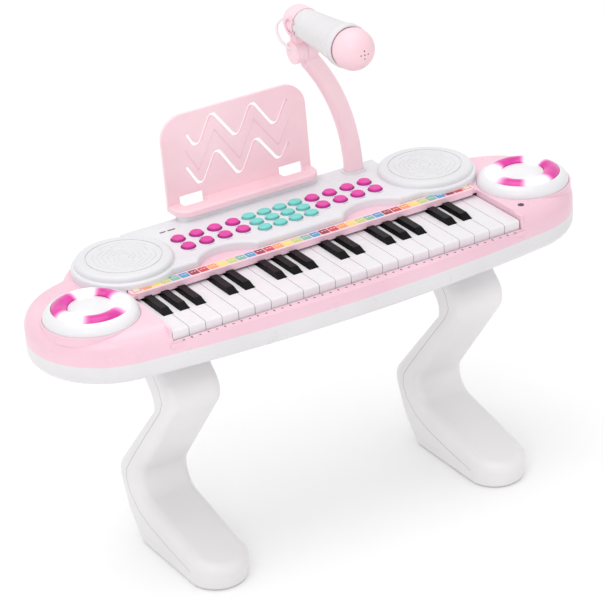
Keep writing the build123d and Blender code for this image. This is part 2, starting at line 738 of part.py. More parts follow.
with BuildPart() as music_stand:
    with BuildSketch(plate_plane) as plate_outline:
        with Locations((stand_centre_x, plate_height / 2)):
            Rectangle(stand_width, plate_height)
        fillet(plate_outline.vertices().group_by(Axis.Y)[-1], radius=stand_corner_radius)
    extrude(amount=-stand_thickness)
    # ledge for the music, with a skirt that stands on the control panel
    with BuildSketch(Plane.XY.offset(plinth_top_z + 0.1)) as ledge_outline:
        with Locations((stand_centre_x, (ledge_front_y + stand_fold_y + stand_thickness) / 2)):
            Rectangle(stand_width, stand_fold_y + stand_thickness - ledge_front_y)
        fillet(ledge_outline.vertices().group_by(Axis.Y)[0], radius=16)
    extrude(amount=ledge_top_z - plinth_top_z - 0.1)
    ledge_front_edges = music_stand.edges().filter_by(lambda e: abs(e.center().Z - ledge_top_z) < 0.01)
    fillet(ledge_front_edges.filter_by(lambda e: e.center().Y < stand_fold_y - 5), radius=2.4)
    # hollow under the ledge
    with BuildSketch(Plane.XY.offset(plinth_top_z)):
        with Locations((stand_centre_x, (ledge_front_y + stand_fold_y + stand_thickness) / 2)):
            hollow_depth = stand_fold_y + stand_thickness - ledge_front_y - 2 * ledge_rim
            RectangleRounded(stand_width - 2 * ledge_rim, hollow_depth, 4)
    extrude(amount=ledge_top_z - plinth_top_z - ledge_skin, mode=Mode.SUBTRACT)
    # tabs that drop into slots in the panel
    with BuildSketch(Plane.XY.offset(panel_top_z - 8)):
        with Locations(*tab_spots):
            Rectangle(tab_width, tab_thickness)
    extrude(amount=ledge_top_z - panel_top_z + 7)
    # openings across the fold
    for opening_x in (-64, 53):
        with BuildSketch(Plane.XY.offset(ledge_top_z - 7)):
            with Locations((opening_x, stand_fold_y)):
                RectangleRounded(28, 18, 2)
        extrude(amount=14, mode=Mode.SUBTRACT)
    # two zigzag slots through the plate
    for zigzag in (upper_zigzag, lower_zigzag):
        with BuildSketch(plate_plane):
            with BuildLine():
                FilletPolyline(*zigzag, radius=5)
            trace(line_width=3.4)
        extrude(amount=-stand_thickness - 1, mode=Mode.SUBTRACT)
save(music_stand.part, "music_stand")

# ================================================================ microphone arm
bend_radius = (arm_rise**2 + arm_reach**2) / (2 * arm_reach)
bend_centre_x = arm_base_x - bend_radius
bend_angle = asin(arm_rise / bend_radius)

with BuildPart() as mic_arm:
    with BuildLine():
        ThreePointArc(
            (arm_base_x, arm_y, panel_top_z),
            (
                bend_centre_x + bend_radius * cos(bend_angle / 2),
                arm_y,
                panel_top_z + bend_radius * sin(bend_angle / 2),
            ),
            (arm_base_x - arm_reach, arm_y, panel_top_z + arm_rise),
        )
    with BuildSketch(Plane.XY.offset(panel_top_z)):
        with Locations((arm_base_x, arm_y)):
            RectangleRounded(arm_width, arm_depth, 6.5)
    sweep()
    # tenon through the panel
    with BuildSketch(Plane.XY.offset(casing_top_z - 2)):
        with Locations((arm_base_x, arm_y)):
            RectangleRounded(arm_tenon_x, arm_tenon_y, 3.7)
    extrude(amount=panel_top_z - casing_top_z + 3)
    # knuckle, cut back where the cradle's half turns beside it
    with BuildSketch(Plane.YZ.offset(pivot_x)):
        with Locations((arm_y, pivot_z)):
            Circle(pivot_radius)
    extrude(amount=12)
    with BuildSketch(Plane.YZ.offset(pivot_x + 0.3)):
        with Locations((arm_y, pivot_z)):
            Rectangle(60, 60)
    extrude(amount=-40, mode=Mode.SUBTRACT)
    with BuildSketch(Plane.YZ.offset(pivot_x)):
        with Locations((arm_y, pivot_z)):
            Circle(pivot_pin_radius + 0.05)
    extrude(amount=pivot_pin_length + 0.5, mode=Mode.SUBTRACT)
save(mic_arm.part, "mic_arm")

# ================================================================ microphone
cord_points = [(60, 98, 486), (50, 108, 480), (47, 107, 468), (49, 99, 457), (57, 92, 450)]
cord_start = Vector(*cord_points[0])
cord_end = Vector(*cord_points[-1])
cord_out = Vector(*cord_points[1]) - cord_start
cord_in = Vector(*cord_points[-2]) - cord_end
mic_axis = Axis((mic_x, 0, mic_z), (0, 1, 0))
# side view of the microphone: local x runs along Y, local y is the distance up from the axis
mic_plane = Plane(origin=(mic_x, 0, mic_z), x_dir=(0, 1, 0), z_dir=(1, 0, 0))

with BuildPart() as mic_cradle:
    # half of the knuckle with its pin
    with BuildSketch(Plane.YZ.offset(pivot_x)):
        with Locations((arm_y, pivot_z)):
            Circle(pivot_radius)
    extrude(amount=-12)
    with BuildSketch(Plane.YZ.offset(pivot_x - 1)):
        with Locations((arm_y, pivot_z)):
            Circle(pivot_pin_radius)
    extrude(amount=pivot_pin_length + 1)
    # neck up to the cup
    with BuildSketch(Plane.XY.offset(pivot_z)):
        with Locations((pivot_x - 6, arm_y)):
            Rectangle(9, 11)
    extrude(amount=mic_z - pivot_z - 10)
    # cup over the tail of the microphone, rounded at the back
    for radius, start_y, cup_mode in [
        (cup_radius, cup_front_y, Mode.ADD),
        (cup_radius - cup_wall, cup_front_y - 1, Mode.SUBTRACT),
    ]:
        with BuildSketch(Plane.XZ.offset(-start_y)):
            with Locations((mic_x, mic_z)):
                Circle(radius)
        extrude(amount=start_y - cup_dome_y, mode=cup_mode)
        with Locations((mic_x, cup_dome_y, mic_z)):
            Sphere(radius, mode=cup_mode)
    # the cup ends square at its mouth
    with BuildSketch(Plane.XZ.offset(-cup_front_y)):
        with Locations((mic_x, mic_z)):
            Circle(cup_radius + 1)
    extrude(amount=cup_radius, mode=Mode.SUBTRACT)
    # passages for the lead
    with BuildSketch(Plane(origin=cord_start, z_dir=cord_out)):
        Circle(cord_diameter / 2 + 0.3)
    extrude(amount=14, mode=Mode.SUBTRACT)
    with BuildSketch(Plane(origin=cord_end, z_dir=cord_in)):
        Circle(cord_diameter / 2 + 0.3)
    extrude(amount=10, mode=Mode.SUBTRACT)
save(mic_cradle.part, "mic_cradle")

with BuildPart() as mic_handle:
    with BuildSketch(mic_plane):
        with BuildLine():
            Polyline(
                (0, 13), (0, 18.4), (-4, 20.5), (-4, collar_radius - 0.8), (-3.2, collar_radius),
                (3.5, collar_radius), (6, collar_radius - 0.7), (12, 20.6), (26, 19.1), (50, 17.4),
                (cup_front_y - 1, 15.8), (cup_front_y, 14.8), (cup_dome_y, 14.6), (cup_dome_y, 0),
                (cup_dome_y - 2, 0), (cup_dome_y - 2, 12.6), (cup_front_y, 12.8), (14, 16),
                (5, 16.4), (5, 13),
                close=True,
            )
        make_face()
    revolve(axis=mic_axis)
save(mic_handle.part, "mic_handle")

with BuildPart() as mic_head:
    with Locations((mic_x, mic_head_y, mic_z)):
        Sphere(mic_head_radius)
        Sphere(mic_head_radius - 2, mode=Mode.SUBTRACT)
    with BuildSketch(Plane.XZ.offset(0)):
        with Locations((mic_x, mic_z)):
            Rectangle(60, 60)
    extrude(amount=-40, mode=Mode.SUBTRACT)
    # five sound holes in a cross
    with BuildSketch(Plane.XZ.offset(-mic_head_y)):
        with Locations((mic_x, mic_z)):
            with Locations((0, 0), (4, 0), (-4, 0), (0, 4), (0, -4)):
                Circle(0.9)
    extrude(amount=mic_head_radius + 5, mode=Mode.SUBTRACT)
save(mic_head.part, "mic_head")

# each bend is as wide as its shorter run allows
cord_radii = []
for before, corner, after in zip(cord_points, cord_points[1:], cord_points[2:]):
    run_in = Vector(*corner) - Vector(*before)
    run_out = Vector(*after) - Vector(*corner)
    half_turn = radians(run_in.get_angle(run_out)) / 2
    cord_radii.append(0.45 * min(run_in.length, run_out.length) / tan(half_turn))

with BuildPart() as mic_cord:
    with BuildLine():
        FilletPolyline(*cord_points, radius=cord_radii)
    with BuildSketch(Plane(origin=cord_start, z_dir=cord_out)):
        Circle(cord_diameter / 2)
    sweep()
save(mic_cord.part, "mic_cord")
cord_length = mic_cord.part.volume / (pi * (cord_diameter / 2) ** 2)
print("lead length", round(cord_length, 1), "bend radii", [round(radius, 1) for radius in cord_radii])

# ================================================================ legs
# side view (Y, Z) of a leg, going down the front chain and back up the rear one
leg_top_front = (-30, 266)
leg_top_rear = (20, 266)
# (y, z, bend radius) of each corner between the two ends
leg_bends = [
    (-30, 242, 20), (-76.4, 195.6, 24), (33.7, 60.7, 20), (-130, 23.96, 3), (-130, -20, 3),
    (12, -20, 14), (50, 28, 22), (66.9, 72.4, 24), (-31.1, 179.2, 16), (20, 242, 20),
]


def leg_side_view():
    """Side view of a leg: y across, z up."""
    corners = [(y, z) for y, z, bend in leg_bends]
    with BuildSketch() as side_view:
        with BuildLine():
            FilletPolyline(leg_top_front, *corners, leg_top_rear, radius=[bend for y, z, bend in leg_bends])
            Line(leg_top_rear, leg_top_front)
        make_face()
    return side_view.sketch


foot_slope = Vector(0, -leg_bends[2][0] + leg_bends[3][0], leg_bends[3][1] - leg_bends[2][1]).normalized()
toe_top_z = leg_bends[2][1] + (toe_centre_y - leg_bends[2][0]) * foot_slope.Z / foot_slope.Y

for node, side in [("left_leg", -1), ("right_leg", 1)]:
    with BuildPart() as leg_core:
        with BuildSketch(Plane.YZ.offset(side * leg_x - leg_width / 2 + leg_wall)):
            add(leg_side_view())
            offset(amount=-leg_wall, mode=Mode.REPLACE)
        extrude(amount=leg_width - 2 * leg_wall)
        with BuildSketch(Plane.XY.offset(leg_wall)):
            with Locations((side * leg_x, toe_core_y + 80)):
                Rectangle(leg_width, 160)
            with Locations((side * leg_x, toe_core_y)):
                Circle(leg_width / 2 - leg_wall)
        extrude(amount=casing_bottom_z - 2 * leg_wall, mode=Mode.INTERSECT)
    toe_top = Vector(side * leg_x, toe_centre_y, toe_top_z)
    toe_plane = Plane(origin=toe_top, x_dir=(1, 0, 0), z_dir=foot_slope)
    with BuildPart() as leg:
        with BuildSketch(Plane.YZ.offset(side * leg_x - leg_width / 2)):
            add(leg_side_view())
        extrude(amount=leg_width)
        side_edges = leg.faces().filter_by(Axis.X).edges()
        fillet([e for e in side_edges if e.center().Z < 262], radius=leg_edge_radius)
        # round toe in place of the squared end
        with BuildSketch(toe_plane):
            Rectangle(2 * leg_width, 200)
        extrude(amount=80, mode=Mode.SUBTRACT)
        with BuildSketch(toe_plane) as toe_section:
            with BuildLine():
                Polyline((0, 0), (leg_width / 2, 0), (leg_width / 2, -60), (0, -60), close=True)
            make_face()
            fillet(toe_section.vertices().group_by(Axis.X)[-1].sort_by(Axis.Y)[-1], radius=leg_edge_radius)
        revolve(axis=Axis(toe_top, -toe_plane.y_dir), revolution_arc=180)
        with BuildSketch(Plane.XY):
            with Locations((side * leg_x, 0)):
                Rectangle(2 * leg_width, 400)
        extrude(amount=casing_bottom_z, mode=Mode.INTERSECT)
        fillet(leg.faces().sort_by(Axis.Z)[0].edges(), radius=foot_edge_radius)
        add(leg_core.part, mode=Mode.SUBTRACT)
        # tenon that plugs into the casing
        with BuildSketch(Plane.XY.offset(casing_bottom_z - 2)):
            with Locations((side * leg_x, tenon_centre_y)):
                Rectangle(tenon_x, tenon_y)
        extrude(amount=tenon_height + 2)
        with BuildSketch(Plane.XY.offset(casing_bottom_z - 8)):
            with Locations((side * leg_x, tenon_centre_y)):
                Rectangle(tenon_x - 8, tenon_y - 8)
        extrude(amount=tenon_height + 20, mode=Mode.SUBTRACT)
    save(leg.part, node)
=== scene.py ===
"""Looks for the toy electronic keyboard: materials, printed details, lamps, lights and camera."""
from math import cos, pi, radians, sin

import bmesh
import bpy
from mathutils import Matrix, Vector


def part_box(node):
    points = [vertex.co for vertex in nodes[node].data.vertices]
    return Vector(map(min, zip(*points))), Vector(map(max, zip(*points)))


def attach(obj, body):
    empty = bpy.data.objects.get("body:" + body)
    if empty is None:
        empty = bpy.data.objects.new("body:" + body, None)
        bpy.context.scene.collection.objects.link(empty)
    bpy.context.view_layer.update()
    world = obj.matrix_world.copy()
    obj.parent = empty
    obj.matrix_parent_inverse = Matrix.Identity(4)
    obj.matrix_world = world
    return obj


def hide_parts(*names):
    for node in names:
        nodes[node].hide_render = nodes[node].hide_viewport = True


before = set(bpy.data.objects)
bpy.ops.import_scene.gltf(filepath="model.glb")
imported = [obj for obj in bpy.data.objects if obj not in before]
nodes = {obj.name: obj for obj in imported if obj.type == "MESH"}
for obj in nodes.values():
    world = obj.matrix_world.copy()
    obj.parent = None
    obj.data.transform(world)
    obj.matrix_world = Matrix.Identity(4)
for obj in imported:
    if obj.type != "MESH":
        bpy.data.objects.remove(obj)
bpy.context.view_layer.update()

# Sizes and places of the pieces are in millimetres, and become metres where vertices are made.
MM = 0.001

# places on the object that several pieces share
key_pitch = 18.2
lip_z = 277.0
panel_z = 302.0


def linked(name, data):
    """A new object in the scene."""
    made = bpy.data.objects.new(name, data)
    bpy.context.scene.collection.objects.link(made)
    return made


# ---------------------------------------------------------------- camera
def add_camera():
    azimuth = radians(-29.665)
    elevation = radians(26.116)
    roll = radians(-3.798)
    distance = 2.8669
    target = Vector((-0.0569, -0.092, 0.2748))
    back = Vector((sin(azimuth) * cos(elevation), -cos(azimuth) * cos(elevation), sin(elevation)))
    level = Vector((cos(azimuth), sin(azimuth), 0))
    upright = level.cross(-back)
    right = level * cos(roll) + upright * sin(roll)
    up = upright * cos(roll) - level * sin(roll)
    data = bpy.data.cameras.new("camera")
    data.lens = 176.42
    data.sensor_width = 36
    data.clip_end = 50
    camera = linked("camera", data)
    turn = Matrix((right, up, back)).transposed().to_4x4()
    camera.matrix_world = Matrix.Translation(target + back * distance) @ turn
    bpy.context.scene.camera = camera


add_camera()


# ---------------------------------------------------------------- materials
# sockets of the Mix node when it mixes colours
MIX_A, MIX_B, MIX_RESULT = 6, 7, 2


def srgb(code):
    """Linear colour from six hex digits."""
    values = [int(code[i:i + 2], 16) / 255 for i in (0, 2, 4)]
    return [v / 12.92 if v <= 0.04045 else ((v + 0.055) / 1.055) ** 2.4 for v in values] + [1]


def shade(colour, factor, lift=0.0):
    """A darker or paler colour, held between 0 and 1."""
    return [max(0, min(1, c * factor + lift)) for c in colour[:3]] + [1]


class Graph:
    """Short calls for building a node tree."""

    def __init__(self, name):
        self.material = bpy.data.materials.new(name)
        self.material.use_nodes = True
        self.tree = self.material.node_tree
        self.shader = self.tree.nodes["Principled BSDF"]
        self.place = self.tree.nodes.new("ShaderNodeTexCoord").outputs["Object"]

    def node(self, kind, inputs=(), **settings):
        made = self.tree.nodes.new(kind)
        for key, value in settings.items():
            setattr(made, key, value)
        for key, value in dict(inputs).items():
            self.put(made, key, value)
        return made

    def put(self, made, key, value):
        if isinstance(value, bpy.types.NodeSocket):
            self.tree.links.new(value, made.inputs[key])
        else:
            made.inputs[key].default_value = value

    def noise(self, scale, detail):
        inputs = {"Vector": self.place, "Scale": scale, "Detail": detail}
        return self.node("ShaderNodeTexNoise", inputs).outputs["Fac"]

    def spread(self, value, low, high, from_low=0.3, from_high=0.7):
        """The value's range from_low to from_high, stretched to run from low to high."""
        inputs = {"Value": value, "From Min": from_low, "From Max": from_high,
                  "To Min": low, "To Max": high}
        return self.node("ShaderNodeMapRange", inputs).outputs["Result"]

    def math(self, operation, a, b=0.0):
        return self.node("ShaderNodeMath", {0: a, 1: b}, operation=operation).outputs[0]

    def mix(self, factor, a, b):
        inputs = {"Factor": factor, MIX_A: a, MIX_B: b}
        return self.node("ShaderNodeMix", inputs, data_type="RGBA").outputs[MIX_RESULT]

    def bump(self, scale, detail, strength, distance, under=None):
        """Relief from noise, laid over an earlier relief if there is one."""
        inputs = {"Height": self.noise(scale, detail), "Strength": strength, "Distance": distance}
        if under is not None:
            inputs["Normal"] = under
        return self.node("ShaderNodeBump", inputs).outputs["Normal"]


def plastic(name, code, rough=0.32, tint=0.03, grain=0.05, coat=0.15, wear_and_shade=0.35, warm=None):
    """Moulded plastic: slow colour drift, fine mould texture and uneven gloss, with paler rubbed
    edges and painted shade darkening the hollows."""
    g = Graph(name)
    base = srgb(code)
    darker = shade(base, 1 - 2 * tint)
    other = srgb(warm) if warm else shade(base, 1 + tint)
    pale = shade(base, 1.12, lift=0.02)
    # painted shade for the hollows: the base colour darkened
    hollow_shade = shade(base, 0.72)

    colour = g.mix(g.spread(g.noise(scale=9, detail=3), 0, 1), darker, other)
    speckle = g.spread(g.noise(scale=420, detail=3), 0, 0.06, from_low=0.55, from_high=0.8)
    colour = g.mix(speckle, colour, darker)
    edges = g.node("ShaderNodeNewGeometry").outputs["Pointiness"]
    worn = g.spread(edges, 0, wear_and_shade, from_low=0.52, from_high=0.62)
    rubbed = g.math("MULTIPLY", worn, g.spread(g.noise(scale=60, detail=4), 0.3, 1))
    colour = g.mix(rubbed, colour, pale)
    # painted shade: where pointiness is low, in hollows and creases, the colour is mixed towards
    # the darker copy
    hollow_shade_mask = g.spread(edges, wear_and_shade * 0.5, 0, from_low=0.38, from_high=0.48)
    g.put(g.shader, "Base Color", g.mix(hollow_shade_mask, colour, hollow_shade))

    gloss = g.spread(g.noise(scale=35, detail=4), rough - 0.05, rough + 0.07)
    g.put(g.shader, "Roughness", g.math("ADD", gloss, g.math("MULTIPLY", rubbed, 0.12)))
    g.put(g.shader, "Coat Weight", coat)
    g.put(g.shader, "Coat Roughness", 0.18)
    g.put(g.shader, "IOR", 1.48)
    fine = g.bump(scale=1400, detail=2, strength=grain, distance=0.0002)
    waves = g.bump(scale=45, detail=1, strength=0.05, distance=0.001, under=fine)
    g.put(g.shader, "Normal", waves)
    return g.material


def ink(name, code):
    """Printed film: slightly blotchy ink with a fine screen grain."""
    g = Graph(name)
    base = srgb(code)
    thin = shade(base, 0.9, lift=0.05)
    blots = g.spread(g.noise(scale=260, detail=4), 0, 0.5)
    g.put(g.shader, "Base Color", g.mix(blots, base, thin))
    g.put(g.shader, "Roughness", g.spread(g.noise(scale=160, detail=3), 0.42, 0.6))
    g.put(g.shader, "Normal", g.bump(scale=2200, detail=1, strength=0.08, distance=0.0001))
    return g.material


def zinc(name):
    """Zinc-plated screws with fine scratches."""
    g = Graph(name)
    tone = g.spread(g.noise(scale=300, detail=3), 0, 1)
    g.put(g.shader, "Base Color", g.mix(tone, srgb("9a9aa0"), srgb("c4c4c8")))
    g.put(g.shader, "Metallic", 1.0)
    g.put(g.shader, "Roughness", g.spread(g.noise(scale=700, detail=2), 0.25, 0.45))
    g.put(g.shader, "Normal", g.bump(scale=2500, detail=1, strength=0.2, distance=0.0001))
    return g.material


# The bright spots of each lamp ring: the side it is on, then for each spot its direction from the
# ring's centre, how far from there it fades out, and how far it stays full, all in degrees.
lamp_spots = [
    (-1, [(76, 38, 2), (-26, 50, 6), (-152, 38, 2)]),
    (1, [(30, 36, 2), (-98, 36, 2), (157, 56, 10)]),
]
glow_falloff = 1.8


def lamp_glow(g):
    """How brightly the lamps shine through the rings, from 0 to 1, by the angle round each."""
    low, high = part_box("lamp_rings")
    ring_radius = (high.y - low.y) / 2
    centre_x = high.x - ring_radius
    centre_y = (low.y + high.y) / 2
    split = g.node("ShaderNodeSeparateXYZ", {"Vector": g.place})
    dy = g.math("SUBTRACT", split.outputs["Y"], centre_y)
    glow = None
    for side, spots in lamp_spots:
        dx = g.math("SUBTRACT", split.outputs["X"], side * centre_x)
        squares = g.math("ADD", g.math("MULTIPLY", dx, dx), g.math("MULTIPLY", dy, dy))
        distance = g.math("SQRT", squares)
        here = g.math("GREATER_THAN", g.math("MULTIPLY", split.outputs["X"], side), 0.0)
        for angle, fade, core in spots:
            along = g.math("MULTIPLY", dx, cos(radians(angle)))
            across = g.math("MULTIPLY", dy, sin(radians(angle)))
            facing = g.math("DIVIDE", g.math("ADD", along, across), distance)
            inputs = {"Value": facing, "From Min": cos(radians(fade)),
                      "From Max": cos(radians(core))}
            spot = g.node("ShaderNodeMapRange", inputs, interpolation_type="SMOOTHSTEP")
            spot = g.math("MULTIPLY", spot.outputs["Result"], here)
            glow = spot if glow is None else g.math("MAXIMUM", glow, spot)
    return g.math("POWER", glow, glow_falloff)


def glowing_rings(name):
    """Lit magenta plastic, turning white where the lamps shine through."""
    g = Graph(name)
    glow = lamp_glow(g)
    tone = g.spread(g.noise(scale=90, detail=3), 0, 1)
    magenta = g.mix(tone, srgb("c00c86"), srgb("dc24a2"))
    g.put(g.shader, "Base Color", g.mix(glow, magenta, srgb("fdf0f8")))
    g.put(g.shader, "Emission Color", g.mix(glow, srgb("e8309c"), srgb("ffffff")))
    g.put(g.shader, "Emission Strength", g.spread(glow, 0.1, 0.8, from_low=0, from_high=1))
    g.put(g.shader, "Roughness", g.spread(g.noise(scale=40, detail=3), 0.18, 0.3))
    g.put(g.shader, "Coat Weight", 0.4)
    g.put(g.shader, "Normal", g.bump(scale=500, detail=2, strength=0.1, distance=0.0002))
    return g.material


pink = plastic("pink_plastic", "efc3d2", rough=0.3, warm="f2cbd8")
pink_stand = plastic("pink_stand_plastic", "f7cfd9", rough=0.34, warm="fadae1")
white = plastic("white_plastic", "dfdddf", rough=0.3)
panel_white = plastic("panel_plastic", "e2e2e6", rough=0.3)
leg_white = plastic("leg_plastic", "e6e4e5", rough=0.36, grain=0.08)
pod_white = plastic("pod_plastic", "dfdfe2", rough=0.34)
dome_white = plastic("dome_plastic", "e6e6e8", rough=0.3)
key_white = plastic("key_plastic", "e4e1e5", rough=0.2, grain=0.02, coat=0.4, tint=0.015)
key_black = plastic("black_key_plastic", "050506", rough=0.28, grain=0.03, coat=0.0, tint=0.1,
                    wear_and_shade=0.02)
key_black.node_tree.nodes["Principled BSDF"].inputs["Specular IOR Level"].default_value = 0.14
magenta_rubber = plastic("magenta_buttons_plastic", "e23aa2", rough=0.42, tint=0.06)
turquoise_rubber = plastic("turquoise_buttons_plastic", "74d8cf", rough=0.42, tint=0.05)
strip_pink = plastic("strip_plastic", "f9cfdd", rough=0.28)
lead_rubber = plastic("lead_rubber", "efe6ea", rough=0.5, grain=0.2, coat=0)
board_green = plastic("board_lacquer", "3d6b3a", rough=0.4, tint=0.12)
cone_dark = plastic("cone_paper", "26262a", rough=0.8, grain=0.4, coat=0)
grey_dark = plastic("dark_grey_plastic", "4a464c", rough=0.4)
rim_purple = plastic("button_rims", "a03a98", rough=0.4, tint=0.08)
rim_grey = plastic("oval_button_rims", "8fb4ba", rough=0.4, tint=0.06)

finishes = {
    "upper_casing": pink,
    "lower_casing": white,
    "battery_door": white,
    "control_panel": panel_white,
    "speaker_grilles": pod_white,
    "note_strip": strip_pink,
    "lamp_domes": dome_white,
    "lamp_rings": glowing_rings("lit_rings"),
    "left_buttons": magenta_rubber,
    "center_buttons": turquoise_rubber,
    "right_buttons": magenta_rubber,
    "power_switch": grey_dark,
    "music_stand": pink_stand,
    "mic_arm": pink_stand,
    "mic_cradle": pink_stand,
    "mic_handle": white,
    "mic_head": pink_stand,
    "left_leg": leg_white,
    "right_leg": leg_white,
    "circuit_boards": board_green,
    "speakers": cone_dark,
    "casing_screws": zinc("zinc_screws"),
}
for node in nodes:
    if node.startswith("white_key"):
        finishes[node] = key_white
    elif node.startswith("black_key"):
        finishes[node] = key_black
for node, material in finishes.items():
    data = nodes[node].data
    data.materials.clear()
    data.materials.append(material)


# ---------------------------------------------------------------- tools for the pieces
def mesh_piece(name, shape, materials, body="casing", smooth=False):
    """A piece made from a bmesh, riding on a body."""
    data = bpy.data.meshes.new(name)
    shape.to_mesh(data)
    shape.free()
    for material in materials:
        data.materials.append(material)
    if smooth:
        data.polygons.foreach_set("use_smooth", [True] * len(data.polygons))
    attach(linked(name, data), body)


def top_of(node):
    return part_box(node)[1].z / MM


def tile(shape, x, y, z, width, depth, height, index=0, corner=0.8, edge=0.15):
    """A low plate with rounded corners and an eased top edge, its underside at z."""
    corner_steps = 3
    rings = []
    for inset, level in ((0, z), (0, z + height - edge), (edge, z + height)):
        ring = []
        for cx, cy, start in ((1, 1, 0), (-1, 1, 90), (-1, -1, 180), (1, -1, 270)):
            for step in range(corner_steps + 1):
                angle = radians(start + step * 90 / corner_steps)
                px = x + cx * (width / 2 - corner) + (corner - inset) * cos(angle)
                py = y + cy * (depth / 2 - corner) + (corner - inset) * sin(angle)
                ring.append(shape.verts.new((px * MM, py * MM, level * MM)))
        rings.append(ring)
    count = len(rings[0])
    for low, high in zip(rings, rings[1:]):
        for i in range(count):
            j = (i + 1) % count
            shape.faces.new((low[i], low[j], high[j], high[i])).material_index = index
    shape.faces.new(rings[-1]).material_index = index
    shape.faces.new(list(reversed(rings[0]))).material_index = index


def rim(shape, x, y, z, inner_x, inner_y, width, height):
    """A low rounded bead round a button or lamp."""
    steps = 32
    profile = [(0, 0), (0.1, 0.7), (0.5, 1), (0.9, 0.7), (1, 0)]
    rings = []
    for along, up in profile:
        ring = []
        for i in range(steps):
            angle = 2 * pi * i / steps
            px = x + (inner_x + along * width) * cos(angle)
            py = y + (inner_y + along * width) * sin(angle)
            ring.append(shape.verts.new((px * MM, py * MM, (z + up * height) * MM)))
        rings.append(ring)
    for a, b in zip(rings, rings[1:] + rings[:1]):
        for i in range(steps):
            j = (i + 1) % steps
            shape.faces.new((a[i], a[j], b[j], b[i]))


def bar(shape, foot, top):
    """The sides and top of a bar between four foot corners and four top corners."""
    corners = [shape.verts.new(spot * MM) for spot in foot + top]
    shape.faces.new(corners[4:])
    for i in range(4):
        j = (i + 1) % 4
        shape.faces.new((corners[i], corners[j], corners[4 + j], corners[4 + i]))


# ---------------------------------------------------------------- printed pieces
def add_note_labels():
    """Note labels along the strip, each with two light marks, and framed in red at both ends."""
    codes = ["efd9c0", "f0a060", "f0d870", "c4d078", "7cb8a8", "4a9cc8", "9c2f44", "d04048"]
    cream, orange, yellow, lime, teal, blue, maroon, red = range(len(codes))
    run = [orange, yellow, lime, teal, blue]
    order = [cream] + run + ([maroon, red] + run) * 4 + [maroon, red, cream]
    pitch = 10.7
    y, mark_y = -8.2, -7.2
    strip_z = top_of("note_strip")
    film_z = strip_z + 0.2
    labels = bmesh.new()
    marks = bmesh.new()
    for i, colour in enumerate(order):
        x = (i - (len(order) - 1) / 2) * pitch
        tile(labels, x, y, strip_z, width=9.6, depth=10, height=0.25, index=colour)
        if colour == cream:
            line = {"height": 0.12, "index": red, "corner": 0.2, "edge": 0.05}
            for dx in (-3.9, 3.9):
                tile(labels, x + dx, y, film_z, width=0.7, depth=8.6, **line)
            for dy in (-4.1, 4.1):
                tile(labels, x, y + dy, film_z, width=8.4, depth=0.7, **line)
        for dx in (-1.6, 1.8):
            tile(marks, x + dx, mark_y, film_z, width=2.4, depth=1.0, height=0.1, corner=0.3,
                 edge=0.04)
    mesh_piece("note_labels", labels, [ink(f"label_ink_{i}", code) for i, code in enumerate(codes)])
    mesh_piece("note_marks", marks, [ink("mark_ink", "f4e6d8")])


def add_lip_ticks():
    """Upright and flat ticks by turns on the lip in front of the keys, every half key."""
    farthest = 21
    upright_y, flat_y = -96.9, -97.2
    film = {"height": 0.12, "edge": 0.04}
    ticks = bmesh.new()
    for i in range(-farthest, farthest + 1):
        x = i * key_pitch / 2
        if i % 2 == 0:
            tile(ticks, x, upright_y, lip_z, width=1.3, depth=3.2, corner=0.5, **film)
        else:
            tile(ticks, x, flat_y, lip_z, width=2.6, depth=1.4, corner=0.6, **film)
    mesh_piece("lip_ticks", ticks, [ink("tick_ink", "4a3038")])


def add_button_rims():
    """A rim round each button, and a short printed bar in front of it."""
    rim_z = panel_z - 0.05
    film = {"depth": 0.5, "height": 0.12, "corner": 0.2, "edge": 0.04}
    round_rims = bmesh.new()
    oval_rims = bmesh.new()
    bars = bmesh.new()
    round_group_x, round_group_y, round_pitch = 78.3, 45, 21
    for side in (-1, 1):
        for column in range(4):
            for row in range(2):
                x = side * round_group_x + (column - 1.5) * round_pitch
                y = round_group_y + (row - 0.5) * round_pitch
                rim(round_rims, x, y, rim_z, inner_x=6.9, inner_y=6.9, width=1.0, height=0.8)
                tile(bars, x, y - 9.9, panel_z, width=7, **film)
    oval_group_y, oval_pitch_x, oval_pitch_y = 41, 18.2, 16.2
    for column in range(4):
        for row in range(3):
            x = (column - 1.5) * oval_pitch_x
            y = oval_group_y + (row - 1) * oval_pitch_y
            rim(oval_rims, x, y, rim_z, inner_x=7.1, inner_y=5.85, width=0.8, height=0.6)
            tile(bars, x, y - 8.0, panel_z, width=9, **film)
    mesh_piece("round_button_rims", round_rims, [rim_purple], smooth=True)
    mesh_piece("oval_button_rims", oval_rims, [rim_grey], smooth=True)
    mesh_piece("panel_bars", bars, [ink("bar_ink", "8a6a80")])


def add_power_lamp():
    """A small dark lamp by the right-hand end of the keys."""
    lamp = bmesh.new()
    z = top_of("upper_casing") - 0.15
    rim(lamp, 215, -74, z, inner_x=0.4, inner_y=0.4, width=3.0, height=0.9)
    mesh_piece("power_lamp", lamp, [grey_dark], smooth=True)


def add_panel_mark():
    """A generic dark mark left of the stand: two short bars."""
    mark = bmesh.new()
    for x, width in ((-114, 7), (-104, 9)):
        tile(mark, x, 80, panel_z, width, depth=2.2, height=0.14, corner=0.9, edge=0.04)
    mesh_piece("panel_mark", mark, [ink("panel_mark_ink", "5a4a60")])


